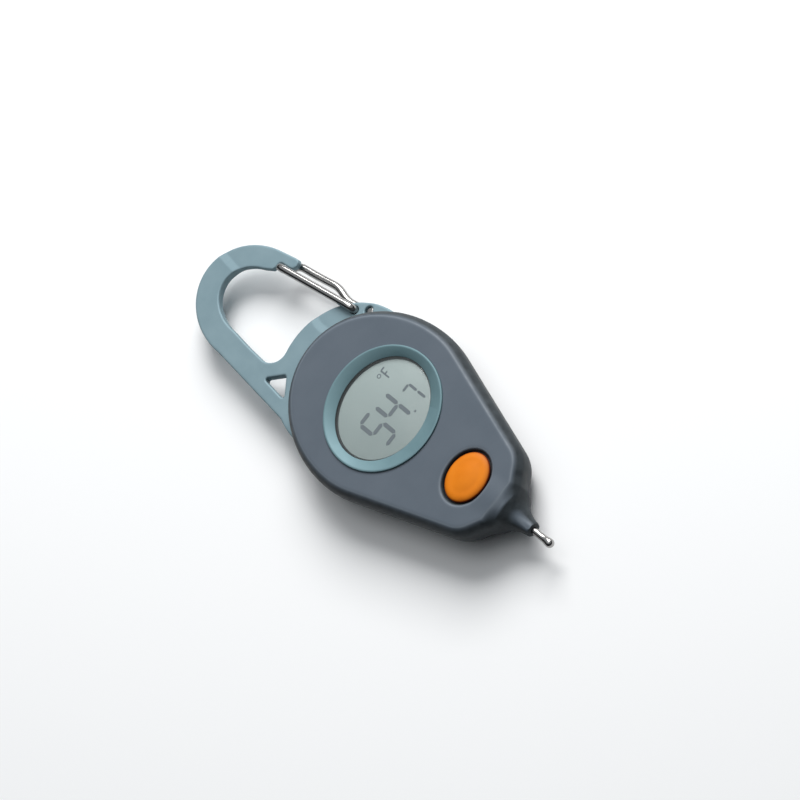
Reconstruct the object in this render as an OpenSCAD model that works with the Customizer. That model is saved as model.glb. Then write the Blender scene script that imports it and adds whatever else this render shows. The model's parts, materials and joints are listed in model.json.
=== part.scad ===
// Pocket probe thermometer with a carabiner frame. Millimetres.
// It lies on its back: +Z out of the display face, +Y towards the carabiner, probe at -Y.
// The origin is the middle of the footprint, on the surface that the back rests on.

/* [Body] */
// Half of the greatest width
half_w = 23.5; // [23:0.1:24]
// Thickness from the back to the face
body_t = 12.5; // [12.4:0.1:13]
// Height of the widest line above the back
wide_z = 10; // [9.8:0.1:10.3]
// Rise of the round end above its centre
end_rise = 29.2; // [28.8:0.1:29.4]
// Inset of the flat face from the widest line
face_inset = 2.6; // [2.4:0.1:2.8]
// Inset of the flat back from the widest line
back_inset = 6; // [5.6:0.1:6.2]
// Thickness of the soft grip layer
grip_t = 1.3; // [1.2:0.05:1.35]
// Thickness of the hard housing wall
wall_t = 1.3; // [1.25:0.05:1.35]

/* [Carabiner frame] */
// Thickness of the plate
plate_t = 2.4; // [2.2:0.1:2.5]
// Thickness where the gate lies beside it
thin_t = 1.8; // [1.6:0.1:1.8]
// Radius of the shoulder around the round end
shoulder_r = 19.6; // [19.4:0.1:19.8]
// Radius of the gate wire
wire_r = 1; // [0.9:0.05:1]

/* [Display] */
// Height of the window's centre along the body
window_y = -5.8; // [-6:0.1:-5.6]
// Outer radius of the bezel ring
bezel_r = 16.3; // [16:0.1:16.5]
// Half width of the window opening
window_w = 13.7; // [13.5:0.1:13.8]
// Half height of the window opening
window_h = 12.5; // [12.2:0.1:12.6]

/* [Button] */
// Place of the button along the body
button_y = -37.2; // [-37.4:0.1:-37]
// Half width of the button dome
button_w = 6.7; // [6.5:0.1:6.8]
// Half height of the button dome
button_h = 5.7; // [5.5:0.1:5.8]
// Travel of the button
button_travel = 0.6; // [0.4:0.05:0.6]

/* [Probe] */
// Radius of the probe tube
probe_r = 0.9; // [0.8:0.05:0.95]
// Radius of the round probe tip
tip_r = 1.15; // [1.1:0.05:1.2]
// Radius of the collar that the probe leaves
collar_r = 1.85; // [1.7:0.05:2]

/* [Hidden] */

$fn = 64;
eps = 0.01;
gap = 0.1;                         // clearance beside a moving piece
frame_z = body_t / 2;              // mid-plane of the plate, the probe and the parting line
length_half = 65;                  // half of the overall length

// Outline of the body: an elliptic round end, bulging sides, rounded shoulders, a blunt nose end
end_y = -5;                        // centre of the round end
side_r = 27.2;                     // radius of the bulging side
side_a = 16.3;                     // slope of the straight side
nose_a = 56.8;                       // direction that the shoulder's flat faces
nose_reach = 45.2;                 // distance of that flat from the origin
corner_r = 8.7;                    // rounding between side and shoulder
blunt_y = -50;                     // where the flat body ends and the nose cone goes on
side_reach = (half_w - side_r) * cos(side_a) - end_y * sin(side_a) + side_r;

// Centre of the corner rounding: the point corner_r inside both straight edges
corner_det = sin(nose_a - side_a);
corner_x = ((side_reach - corner_r) * sin(nose_a) - (nose_reach - corner_r) * sin(side_a)) / corner_det;
corner_y = ((side_reach - corner_r) * cos(nose_a) - (nose_reach - corner_r) * cos(side_a)) / corner_det;

// Right half of the outline, moved inwards by d, from the top to the blunt end
function half_outline(d) = concat(
    [for (a = [90:-6:0]) [(half_w - d) * cos(a), end_y + (end_rise - d) * sin(a)]],
    [for (i = [1:4]) let (a = side_a * i / 4)
        [half_w - side_r + (side_r - d) * cos(a), end_y - (side_r - d) * sin(a)]],
    [for (i = [0:4]) let (a = side_a + (nose_a - side_a) * i / 4)
        [corner_x + (corner_r - d) * cos(a), corner_y - (corner_r - d) * sin(a)]],
    [[(nose_reach - d + (blunt_y + d) * sin(nose_a)) / cos(nose_a), blunt_y + d]]);

function outline(d) = let (half = half_outline(d), n = len(half)) concat(
    [for (i = [n - 1:-1:0]) half[i]],
    [for (i = [1:n - 1]) [-half[i][0], half[i][1]]]);

// Levels of the body's skin, as [inset, z], for a skin t inside the outer one
function widest(t) = min(wide_z, body_t - t - 0.7);
edge_power = 4 / 3;                // 1 is a round edge, more is flatter between two firmer bends
function levels(t) = concat(
    [for (a = [90:-11.25:0]) [t + back_inset * (1 - cos(a)), widest(t) - (widest(t) - t) * sin(a)]],
    [for (a = [22.5:22.5:90]) [t + face_inset * (1 - pow(cos(a), edge_power)),
                               widest(t) + (body_t - t - widest(t)) * pow(sin(a), edge_power)]]);

module pebble(t) {
    steps = levels(t);
    count = len(outline(0));
    rings = [for (s = steps) for (p = outline(s[0])) [p[0], p[1], s[1]]];
    sides = [for (k = [0:len(steps) - 2]) for (i = [0:count - 1]) let (j = (i + 1) % count)
        each [[k * count + i, (k + 1) * count + i, (k + 1) * count + j],
              [k * count + i, (k + 1) * count + j, k * count + j]]];
    floor_face = [for (i = [0:count - 1]) i];
    roof_face = [for (i = [count - 1:-1:0]) (len(steps) - 1) * count + i];
    polyhedron(rings, concat([floor_face, roof_face], sides));
}

// Nose cone about the probe's axis, moved inwards by t and cut off at end_at
flare_r = 12.4;                    // radius of the hollow flare into the collar
flare_x = collar_r + flare_r;
flare_y = -58.9;                   // where the flare runs parallel to the probe
cone_r = 5.2;                      // radius where the cone leaves the body
cone_root_y = -44;
module nose(t, end_at) {
    first_a = acos((flare_x - cone_r) / flare_r);
    last_a = asin((end_at - flare_y) / (flare_r + t));
    curve = [for (i = [0:8]) let (a = first_a + (last_a - first_a) * i / 8)
        [flare_x - (flare_r + t) * cos(a), flare_y + (flare_r + t) * sin(a)]];
    profile = concat([[0, cone_root_y], [curve[0][0], cone_root_y]], curve, [[0, end_at]]);
    translate([0, 0, frame_z]) rotate([-90, 0, 0]) rotate_extrude() polygon(profile);
}

module body_skin(t, end_at) {
    pebble(t);
    nose(t, end_at);
}

// Slabs above and below the parting plane
module above() {
    translate([-40, -80, frame_z]) cube([80, 130, 20]);
}
module below() {
    translate([-40, -80, frame_z - 20]) cube([80, 130, 20]);
}

// A round bar between two points
module bar(a, b, r) {
    d = b - a;
    translate(a) rotate([0, acos(d[2] / norm(d)), atan2(d[1], d[0])]) cylinder(r = r, h = norm(d));
}

// An oval prism with half axes w and h, from z0 to z1
module oval(w, h, z0, z1) {
    translate([0, 0, z0]) linear_extrude(z1 - z0) polygon([for (a = [0:5:355]) [w * cos(a), h * sin(a)]]);
}

// A bent wire: a path whose corners are rounded over a length of bend, and a ring of sides around it
function unit(v) = v / norm(v);
function rounded(path, bend) = [for (i = [0:len(path) - 1])
    if (i == 0 || i == len(path) - 1) path[i]
    else let (a = path[i] + bend * unit(path[i - 1] - path[i]), b = path[i] + bend * unit(path[i + 1] - path[i]))
        each [for (u = [0:0.25:1]) (1 - u) * (1 - u) * a + 2 * u * (1 - u) * path[i] + u * u * b]];
module bent_wire(path, bend, r, sides) {
    p = rounded(path, bend);
    n = len(p);
    rings = [for (i = [0:n - 1])
        let (along = unit(p[min(i + 1, n - 1)] - p[max(i - 1, 0)]),
             up = unit(cross([1, 0, 0], along)),
             out = cross(along, up))
        each [for (k = [0:sides - 1]) p[i] + r * (cos(360 * k / sides) * out + sin(360 * k / sides) * up)]];
    skin = [for (i = [0:n - 2]) for (k = [0:sides - 1]) let (m = (k + 1) % sides)
        each [[i * sides + k, i * sides + m, (i + 1) * sides + m],
              [i * sides + k, (i + 1) * sides + m, (i + 1) * sides + k]]];
    first_end = [for (k = [sides - 1:-1:0]) k];
    last_end = [for (k = [0:sides - 1]) (n - 1) * sides + k];
    polyhedron(rings, concat([first_end, last_end], skin));
}

// Carabiner frame
tang_y = 9.4;                      // lower end of the plate inside the housing
arch_x = -0.4;
arch_y = 47.1;
arch_w = 14.6;
inner_w = 8.5;
inner_h = 11.4;
shoulder_y = 11.8;
fillet_r = 4.2;
inner_left = -9.6;
fillet_x = inner_left + fillet_r;
fillet_y = shoulder_y + sqrt(pow(shoulder_r + fillet_r, 2) - fillet_x * fillet_x);
fillet_end = atan2(shoulder_y - fillet_y, -fillet_x) + 360;
foot_x = -18.95;                   // outer left edge where it enters the grip
pivot_a = [14, 22.6];              // hole of the front leg, the gate's turning point
pivot_b = [16, 19];                // hole behind which the rear leg ends
catch = [10.6, 47.9];              // where the gate's cross bar rests in the hook
catch_r = wire_r + 0.2;
screw_top = [11, 13];
screw_low = [10.5, -30];

module plate_outline() {
    difference() {
        union() {
            intersection() {
                translate([0, shoulder_y]) circle(r = shoulder_r);
                translate([-30, tang_y]) square([60, 40]);
            }
            polygon(concat(
                [[foot_x, tang_y]],
                [for (a = [180:-6:0]) [arch_x + arch_w * cos(a), arch_y + (length_half - arch_y) * sin(a)]],
                [[14.9, 45.9], [14.9, 45], [14.3, 44.4], [13.2, 44.2], [12.3, 44.7], [11.95, 45.6], [11.82, 47.2]],
                [for (a = [0:22.5:112.5]) catch + catch_r * [cos(a), sin(a)]],
                [[9, 49.4]],
                [for (a = [24:12:180]) [inner_w * cos(a), arch_y + inner_h * sin(a)]],
                [[-9.2, 41.1]],
                [for (i = [0:8]) let (a = 180 + (fillet_end - 180) * i / 8)
                    [fillet_x + fillet_r * cos(a), fillet_y + fillet_r * sin(a)]],
                [[-2, 25], [-2, tang_y]]));
        }
        lanyard_hole();
    }
}

module lanyard_hole() {
    corner = 0.55;
    hull() for (p = [[-12.45, 30.1], [-9.5, 26.7], [-13.15, 23.8]]) translate(p) circle(r = corner, $fn = 24);
}

// Milled relief beside the gate, cut equally deep into both faces, and wider behind the gate's rear end
relief_r = 7.5;
relief_rear_r = 9;
module relief_areas(r) {
    translate([14, 27]) circle(r = r);
    polygon([[4.1, 56], [5.6, 66], [20, 66], [20, 40], [5, 40]]);
}

module carabiner_frame() {
    color([0.51, 0.62, 0.66]) difference() {
        translate([0, 0, frame_z - plate_t / 2]) linear_extrude(plate_t) plate_outline();
        translate([0, 0, frame_z + thin_t / 2]) linear_extrude(plate_t) relief_areas(relief_r);
        translate([0, 0, frame_z - thin_t / 2 - plate_t]) linear_extrude(plate_t) relief_areas(relief_rear_r);
        translate([pivot_a[0], pivot_a[1], 0]) cylinder(r = wire_r + 0.08, h = body_t);
        translate([pivot_b[0], pivot_b[1], 0]) cylinder(r = wire_r + 0.2, h = body_t);
        for (s = [-1, 1]) translate([s * screw_top[0], screw_top[1], 0]) cylinder(r = 1.25, h = body_t);
    }
}

module plate_slot() {
    translate([0, 0, frame_z - plate_t / 2]) linear_extrude(plate_t) plate_outline();
}

// Wire gate: one bent wire, over the front of the plate, round the hook and back behind it
leg_front_z = frame_z + thin_t / 2 + gap + wire_r;
leg_rear_z = frame_z - thin_t / 2 - gap - wire_r;
gate_path = [
    [pivot_a[0], pivot_a[1], frame_z + 0.2], [pivot_a[0], pivot_a[1], leg_front_z],
    [catch[0], catch[1], leg_front_z], [catch[0] + 0.1, catch[1], leg_rear_z],
    [13.8, 45.5, leg_rear_z], [14.6, 39.2, leg_rear_z], [15.7, 32.4, leg_rear_z],
    [14.5, 27.6, leg_rear_z], [pivot_b[0], pivot_b[1], leg_rear_z]];

module wire_gate() {
    pin_z = frame_z - thin_t / 2 + gap;
    color([0.8, 0.8, 0.8]) union() {
        translate([pivot_a[0], pivot_a[1], pin_z]) cylinder(r = wire_r, h = leg_front_z - 1.6 - pin_z);
        bent_wire(gate_path, 1.6, wire_r - 0.005, 20);
        translate([pivot_b[0], pivot_b[1], leg_rear_z]) sphere(r = wire_r);
        translate([pivot_b[0], pivot_b[1], leg_rear_z]) cylinder(r = wire_r, h = wire_r);
    }
}

// Housing
seat_z = body_t - grip_t;          // top of the hard housing
roof_z = seat_z - wall_t;          // underside of its roof
inside_t = grip_t + wall_t;
nose_end_y = -58;                  // end of the soft collar
hard_end_y = -53;                  // end of the hard nose
rib_y = 7.4;                       // cross rib between the sealed space and the plate's tang
rib_t = 1.6;
boss_r = 2.4;
screw_r = 1;
board_screw = [16.6, -1];
oval_w = window_w - 0.25;          // visible part of the display
oval_h = window_h - 0.25;
window_dy = 0.4;
oval_y = window_y + window_dy;
button_gap = 0.4;

module cross_rib() {
    intersection() {
        pebble(inside_t - 0.3);
        translate([-30, rib_y, 0]) cube([60, rib_t, body_t]);
    }
}

module at_all_screws() {
    for (s = [-1, 1]) {
        translate([s * screw_top[0], screw_top[1], 0]) children();
        translate([s * screw_low[0], screw_low[1], 0]) children();
    }
}

module gasket_band() {
    rim = 2.35;
    band_w = 0.55;
    translate([0, 0, frame_z - 0.3]) linear_extrude(0.6) difference() {
        intersection() {
            polygon(outline(rim));
            translate([-30, -70]) square([60, 70 + rib_y + rib_t - 0.5]);
        }
        intersection() {
            polygon(outline(rim + band_w));
            translate([-30, -70]) square([60, 70 + rib_y + rib_t - 0.5 - band_w]);
        }
    }
}

module probe_bore(r) {
    bar([0, -length_half - 1, frame_z], [0, -44, frame_z], r);
}

seal_y = -50;
seal_wire = 0.4;
module probe_seal_ring(r) {
    translate([0, seal_y, frame_z]) rotate([90, 0, 0]) rotate_extrude()
        translate([probe_r + seal_wire, 0]) circle(r = r, $fn = 32);
}

module front_housing() {
    color([0.2, 0.22, 0.24]) difference() {
        union() {
            intersection() {
                difference() {
                    body_skin(grip_t, hard_end_y);
                    pebble(inside_t);
                }
                above();
            }
            intersection() {
                cross_rib();
                above();
            }
            for (s = [-1, 1]) {
                translate([s * screw_top[0], screw_top[1], frame_z]) cylinder(r = boss_r, h = roof_z - frame_z + eps);
                translate([s * screw_low[0], screw_low[1], frame_z]) cylinder(r = boss_r, h = roof_z - frame_z + eps);
                translate([s * board_screw[0], board_screw[1], board_z + board_t])
                    cylinder(r = 1.5, h = roof_z - board_z - board_t + eps);
            }
        }
        at_all_screws() translate([0, 0, frame_z - 1]) cylinder(r = screw_r + 0.02, h = screw_top_z - frame_z + 1.2);
        for (s = [-1, 1]) translate([s * board_screw[0], board_screw[1], board_z]) cylinder(r = 0.82, h = 2.9);
        translate([0, oval_y, 0]) oval(oval_w, oval_h, roof_z - 1, seat_z + 1);
        translate([0, button_y, 0]) oval(button_w + button_gap, button_h + button_gap, roof_z - 1, seat_z + 1);
        plate_slot();
        gasket_band();
        probe_bore(probe_r);
        probe_seal_ring(seal_wire + 0.05);
    }
}

module front_grip() {
    color([0.42, 0.46, 0.51]) difference() {
        intersection() {
            difference() {
                body_skin(0, nose_end_y);
                body_skin(grip_t, hard_end_y);
            }
            above();
        }
        translate([0, window_y, frame_z]) cylinder(r = bezel_r + 0.05, h = body_t);
        translate([0, button_y, 0]) oval(button_w + button_gap, button_h + button_gap, frame_z, body_t + 1);
        plate_slot();
        probe_bore(probe_r);
    }
}

// Battery compartment and its quarter-turn cover
cell_x = 0;
cell_y = -8;
cell_r = 10;
cell_t = 3.2;
cell_z = 3.2;
cover_r = 11.7;
cover_gap = 0.3;
cover_z = 0.35;                    // outer face, just below the back of the grip
lug_r = 12.9;
lug_z = inside_t + 0.15;
lug_a = 24;                        // angle that one lug covers
lug_count = 3;
unlock_a = 60;

module sector(r, half_a, h) {
    linear_extrude(h) polygon([[0, 0], r * [cos(half_a), -sin(half_a)], r * [1, 0] / cos(half_a / 2),
                               r * [cos(half_a), sin(half_a)]]);
}

module lugs(r, half_a, h) {
    for (i = [0:lug_count - 1]) rotate(i * 360 / lug_count) intersection() {
        sector(r * 1.2, half_a, h);
        cylinder(r = r, h = h);
    }
}

module rear_housing() {
    color([0.2, 0.22, 0.24]) difference() {
        union() {
            intersection() {
                difference() {
                    body_skin(grip_t, hard_end_y);
                    pebble(inside_t);
                }
                below();
            }
            intersection() {
                cross_rib();
                below();
            }
            intersection() {
                at_all_screws() translate([0, 0, grip_t]) cylinder(r = boss_r, h = frame_z - grip_t);
                pebble(grip_t);
            }
        }
        at_all_screws() {
            cylinder(r = screw_r + 0.1, h = body_t);
            cylinder(r = 2.1, h = screw_head_z);
        }
        translate([cell_x, cell_y, 0]) cylinder(r = cover_r + cover_gap, h = inside_t + eps);
        translate([cell_x, cell_y, 0]) rotate(unlock_a) lugs(lug_r + 0.3, lug_a / 2 + 3, inside_t + eps);
        plate_slot();
        gasket_band();
        probe_bore(probe_r);
        probe_seal_ring(seal_wire + 0.05);
    }
}

module rear_grip() {
    color([0.3, 0.33, 0.37]) difference() {
        intersection() {
            difference() {
                body_skin(0, nose_end_y);
                body_skin(grip_t, hard_end_y);
            }
            below();
        }
        translate([cell_x, cell_y, -1]) cylinder(r = cover_r + cover_gap, h = frame_z);
        at_all_screws() translate([0, 0, -1]) cylinder(r = 2.1, h = frame_z);
        plate_slot();
        probe_bore(probe_r);
    }
}

module battery_cover() {
    slot_l = 15;
    slot_w = 2.2;
    slot_d = 1.1;
    color([0.22, 0.24, 0.27]) translate([cell_x, cell_y, 0]) difference() {
        union() {
            translate([0, 0, cover_z]) cylinder(r = cover_r, h = inside_t - cover_z);
            translate([0, 0, inside_t]) cylinder(r = cover_r - 0.2, h = cell_z - gap - inside_t);
            translate([0, 0, lug_z]) lugs(lug_r, lug_a / 2, cell_z - gap - lug_z);
        }
        translate([-slot_l / 2, -slot_w / 2, cover_z - 1]) cube([slot_l, slot_w, slot_d + 1]);
        translate([0, 0, seal_low_z - 0.45]) difference() {
            cylinder(r = cover_r + 1, h = 0.9);
            cylinder(r = cover_r - 0.7, h = 0.9);
        }
    }
}

seal_low_z = 1.8;
module cover_seal() {
    color([0.08, 0.08, 0.08]) translate([cell_x, cell_y, seal_low_z]) rotate_extrude()
        translate([cover_r - 0.25, 0]) circle(r = 0.44, $fn = 32);
}

module coin_cell() {
    rim = 0.3;
    color([0.75, 0.75, 0.76]) translate([cell_x, cell_y, cell_z]) union() {
        cylinder(r = cell_r, h = cell_t - rim);
        cylinder(r = cell_r - 1.1, h = cell_t);
    }
}

module cell_holder() {
    color([0.85, 0.85, 0.82]) translate([cell_x, cell_y, 0]) difference() {
        translate([0, 0, lug_z + 0.9]) cylinder(r = cell_r + 1.4, h = board_z - lug_z - 0.9);
        cylinder(r = cell_r + 0.3, h = body_t);
        translate([cell_r - 1, -2.6, 0]) cube([1.7, 5.2, body_t]);
    }
}

module positive_contact() {
    color([0.8, 0.75, 0.55]) translate([cell_x, cell_y, 0]) union() {
        translate([cell_r + 0.02, -2.2, cell_z + 0.4]) cube([0.25, 4.4, board_z - cell_z - 0.4]);
        translate([cell_r + 0.02, -2.2, board_z - 0.25]) cube([0.6, 4.4, 0.25]);
    }
}

module negative_contact() {
    color([0.8, 0.75, 0.55]) translate([cell_x, cell_y, 0])
        translate([-6, -2, cell_z + cell_t]) cube([12, 4, board_z - cell_z - cell_t]);
}

// Electronics
board_z = 6.6;
board_t = 0.8;
board_top_y = 7;
board_low_y = -43.5;
glass_w = 28;
glass_h = 24.4;
glass_z = 8.1;
glass_t = 1.6;
strip_y = 10.7;

module circuit_board() {
    color([0.1, 0.35, 0.2]) translate([0, 0, board_z]) linear_extrude(board_t) difference() {
        intersection() {
            polygon(outline(3.6));
            translate([-30, board_low_y]) square([60, board_top_y - board_low_y]);
        }
        for (s = [-1, 1]) {
            translate([s * screw_low[0], screw_low[1]]) circle(r = boss_r + 0.2);
            translate([s * board_screw[0], board_screw[1]]) circle(r = 0.9);
        }
    }
}

module controller_chip() {
    color([0.05, 0.05, 0.06]) translate([-3.5, oval_y - 3.5, board_z + board_t]) cube([7, 7, 0.45]);
}

module timing_crystal() {
    color([0.75, 0.75, 0.75]) bar([3, -24, board_z - 1], [9, -24, board_z - 1], 1);
}

module board_components() {
    color([0.6, 0.5, 0.35]) for (i = [0:5])
        translate([-6 + 2.2 * i, -27.5 - 3 * (i % 2), board_z - 0.6]) cube([1.6, 0.8, 0.6]);
}

module lcd_holder() {
    color([0.9, 0.9, 0.88]) translate([0, oval_y, board_z + board_t]) linear_extrude(glass_z - board_z - board_t)
        difference() {
            square([glass_w, glass_h], center = true);
            square([24, 18], center = true);
            for (s = [-1, 1]) translate([0, s * strip_y]) square([25, 1.6], center = true);
        }
}

module zebra_strips() {
    color([0.4, 0.45, 0.5]) for (s = [-1, 1])
        translate([-12.4, oval_y + s * strip_y - 0.7, board_z + board_t]) cube([24.8, 1.4, glass_z - board_z - board_t]);
}

module lcd_reflector() {
    color([0.75, 0.78, 0.78]) translate([-11.8, oval_y - 8.8, glass_z - 0.2]) cube([23.6, 17.6, 0.2]);
}

module lcd_glass() {
    lower_t = 0.8;
    color([0.63, 0.69, 0.69]) translate([0, oval_y, glass_z]) union() {
        translate([-glass_w / 2, -glass_h / 2, 0]) cube([glass_w, glass_h, lower_t]);
        translate([-glass_w / 2, -glass_h / 2 + 1, lower_t]) cube([glass_w, glass_h - 2, glass_t - lower_t]);
        oval(oval_w - 0.1, oval_h - 0.1, lower_t, seat_z + gasket_t - 0.05 - glass_z);
    }
}

// Window: gasket, lens and bezel ring stand on the hard housing inside the round hole in the grip
gasket_t = 0.15;
lens_t = 0.65;
lens_top_z = seat_z + gasket_t + lens_t;
bezel_top_z = 13;
lens_w = window_w + 0.9;
lens_h = window_h + 0.9;

module lens_gasket() {
    color([0.1, 0.1, 0.1]) translate([0, oval_y, 0]) difference() {
        oval(lens_w, lens_h, seat_z, seat_z + gasket_t);
        oval(oval_w + 0.05, oval_h + 0.05, seat_z - 1, seat_z + 1);
    }
}

module display_lens() {
    color([0.85, 0.9, 0.9, 0.4]) translate([0, oval_y, 0])
        oval(lens_w, lens_h, seat_z + gasket_t, lens_top_z);
}

module bezel_ring() {
    rim_w = 0.6;
    color([0.51, 0.62, 0.66]) difference() {
        translate([0, window_y, seat_z]) cylinder(r = bezel_r, h = bezel_top_z - seat_z);
        translate([0, oval_y, 0]) oval(lens_w + 0.05, lens_h + 0.05, seat_z - 1, lens_top_z + 0.02);
        hull() {
            translate([0, oval_y, 0]) oval(window_w, window_h, lens_top_z - 0.1, lens_top_z + 0.05);
            translate([0, window_y, bezel_top_z]) cylinder(r = bezel_r - rim_w, h = 0.5);
        }
    }
}

// Button: domed cap, neck and flange, pressing on the plunger of the switch
neck_gap = 0.6;
flange_top_z = roof_z - 0.15;
flange_z = 9.1;
dome_z = seat_z + button_travel + 0.1;
dome_rise = 1.1;

module button_cap() {
    ball_r = (button_w * button_w + dome_rise * dome_rise) / 2 / dome_rise;
    color([0.9, 0.54, 0.17]) translate([0, button_y, 0]) union() {
        oval(button_w + 1.1, button_h + 1.1, flange_z, flange_top_z);
        oval(button_w - neck_gap, button_h - neck_gap, flange_top_z, dome_z + 0.05);
        intersection() {
            oval(button_w, button_h, dome_z, body_t + 1);
            translate([0, 0, dome_z + dome_rise - ball_r]) sphere(r = ball_r, $fn = 96);
        }
    }
}

module button_seal() {
    color([0.1, 0.1, 0.1]) translate([0, button_y, 0]) difference() {
        oval(button_w + button_gap, button_h + button_gap, roof_z + 0.1, seat_z - 0.1);
        oval(button_w - neck_gap + 0.15, button_h - neck_gap + 0.15, roof_z - 1, seat_z + 1);
    }
}

plunger_r = 1;
module tactile_switch() {
    size = 5;
    color([0.7, 0.7, 0.7]) translate([0, button_y, board_z + board_t]) difference() {
        translate([-size / 2, -size / 2, 0]) cube([size, size, 0.9]);
        translate([0, 0, 0.05]) cylinder(r = plunger_r + 0.08, h = 2);
    }
}

module switch_plunger() {
    color([0.1, 0.1, 0.1]) translate([0, button_y, board_z + board_t + 0.05 + button_travel + 0.05])
        cylinder(r = plunger_r, h = flange_z - board_z - board_t - button_travel - 0.1);
}

module housing_gasket() {
    color([0.12, 0.12, 0.12]) difference() {
        gasket_band();
        probe_bore(probe_r);
    }
}

// Fasteners
screw_head_z = 1.7;
screw_top_z = 9.3;
module housing_screws() {
    color([0.7, 0.7, 0.72]) at_all_screws() difference() {
        union() {
            translate([0, 0, screw_head_z - 1.2]) cylinder(r = 1.9, h = 1.2);
            translate([0, 0, screw_head_z]) cylinder(r = screw_r, h = screw_top_z - screw_head_z);
        }
        for (a = [0, 90]) rotate(a) translate([-1.1, -0.25, 0]) cube([2.2, 0.5, screw_head_z - 0.6]);
    }
}

module board_screws() {
    color([0.7, 0.7, 0.72]) for (s = [-1, 1]) translate([s * board_screw[0], board_screw[1], 0]) union() {
        translate([0, 0, board_z - 0.8]) cylinder(r = 1.5, h = 0.8);
        translate([0, 0, board_z]) cylinder(r = 0.8, h = 2.7);
    }
}

// Probe
sheath_root_y = -46;
tip_y = -62.6;                     // where the tube swells into the tip
bead_r = 0.45;
bead_y = -length_half + tip_r + 0.2;

module probe_sheath() {
    ball_y = -length_half + tip_r;
    bore_r = 0.6;
    color([0.78, 0.78, 0.78]) difference() {
        union() {
            bar([0, tip_y + 0.5, frame_z], [0, sheath_root_y, frame_z], probe_r);
            bar([0, ball_y, frame_z], [0, tip_y, frame_z], tip_r);
            translate([0, ball_y, frame_z]) sphere(r = tip_r);
            translate([0, tip_y + 0.6, frame_z]) rotate([90, 0, 0]) cylinder(r1 = probe_r, r2 = tip_r, h = 0.6);
        }
        bar([0, ball_y, frame_z], [0, sheath_root_y + 1, frame_z], bore_r);
        translate([0, ball_y, frame_z]) sphere(r = bore_r);
    }
}

module thermistor_bead() {
    color([0.15, 0.15, 0.15]) translate([0, bead_y, frame_z]) sphere(r = bead_r);
}

module probe_leads() {
    lead_r = 0.12;
    color([0.7, 0.1, 0.1]) for (s = [-1, 1]) union() {
        bar([s * 0.25, bead_y + bead_r, frame_z], [s * 0.25, -45, frame_z], lead_r);
        translate([s * 0.25, -45, frame_z]) sphere(r = lead_r, $fn = 24);
        bar([s * 0.25, -45, frame_z], [s * 0.8, -42.6, board_z - lead_r], lead_r);
    }
}

module probe_seal() {
    color([0.08, 0.08, 0.08]) probe_seal_ring(seal_wire - 0.01);
}

carabiner_frame();
wire_gate();
front_housing();
front_grip();
rear_housing();
rear_grip();
bezel_ring();
display_lens();
lens_gasket();
lcd_glass();
lcd_reflector();
lcd_holder();
zebra_strips();
circuit_board();
controller_chip();
timing_crystal();
board_components();
tactile_switch();
switch_plunger();
button_cap();
button_seal();
coin_cell();
cell_holder();
positive_contact();
negative_contact();
battery_cover();
cover_seal();
housing_gasket();
housing_screws();
board_screws();
probe_sheath();
thermistor_bead();
probe_leads();
probe_seal();
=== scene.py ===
import json
import math

import bmesh
import bpy
import numpy as np
from mathutils import Matrix, Vector


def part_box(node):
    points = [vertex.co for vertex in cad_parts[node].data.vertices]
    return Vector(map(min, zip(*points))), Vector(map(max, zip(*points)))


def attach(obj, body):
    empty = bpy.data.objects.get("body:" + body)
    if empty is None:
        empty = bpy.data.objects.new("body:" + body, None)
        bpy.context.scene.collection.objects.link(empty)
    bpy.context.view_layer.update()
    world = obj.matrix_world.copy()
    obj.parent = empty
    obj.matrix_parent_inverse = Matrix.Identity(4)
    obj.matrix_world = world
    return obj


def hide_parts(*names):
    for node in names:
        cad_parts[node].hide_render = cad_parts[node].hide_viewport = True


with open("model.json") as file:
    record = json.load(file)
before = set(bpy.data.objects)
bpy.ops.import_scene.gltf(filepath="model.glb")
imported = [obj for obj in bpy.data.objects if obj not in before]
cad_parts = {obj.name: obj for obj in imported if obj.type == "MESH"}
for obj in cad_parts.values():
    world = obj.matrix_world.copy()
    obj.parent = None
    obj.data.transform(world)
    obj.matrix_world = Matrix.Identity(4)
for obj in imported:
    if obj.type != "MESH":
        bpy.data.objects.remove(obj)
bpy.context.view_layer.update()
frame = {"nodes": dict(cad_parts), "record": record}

MM = 0.001


def low_mm(node):
    return np.array(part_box(node)[0]) / MM


def high_mm(node):
    return np.array(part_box(node)[1]) / MM


# ---------------------------------------------------------------- sizes, in millimetres, from the CAD frame
HALF_WIDTH = high_mm("front_grip")[0]
FACE_Z = high_mm("front_grip")[2]
MID_Z = FACE_Z / 2
BODY_TOP_Y = high_mm("front_grip")[1]
NOSE_END_Y = low_mm("front_grip")[1]
BEZEL_LOW, BEZEL_HIGH = low_mm("bezel_ring"), high_mm("bezel_ring")
BEZEL_R = (BEZEL_HIGH[0] - BEZEL_LOW[0]) / 2
WINDOW_Y = (BEZEL_HIGH[1] + BEZEL_LOW[1]) / 2
LENS_LOW, LENS_HIGH = low_mm("display_lens"), high_mm("display_lens")
LENS_W = LENS_HIGH[0]
LENS_H = (LENS_HIGH[1] - LENS_LOW[1]) / 2
LENS_Y = (LENS_HIGH[1] + LENS_LOW[1]) / 2
CAP_LOW, CAP_HIGH = low_mm("button_cap"), high_mm("button_cap")
FLANGE = 1.1
BUTTON_W = CAP_HIGH[0] - FLANGE
BUTTON_H = (CAP_HIGH[1] - CAP_LOW[1]) / 2 - FLANGE
BUTTON_Y = (CAP_HIGH[1] + CAP_LOW[1]) / 2
PLATE_TOP_Y = high_mm("carabiner_frame")[1]
PLATE_T = high_mm("carabiner_frame")[2] - low_mm("carabiner_frame")[2]

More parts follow.
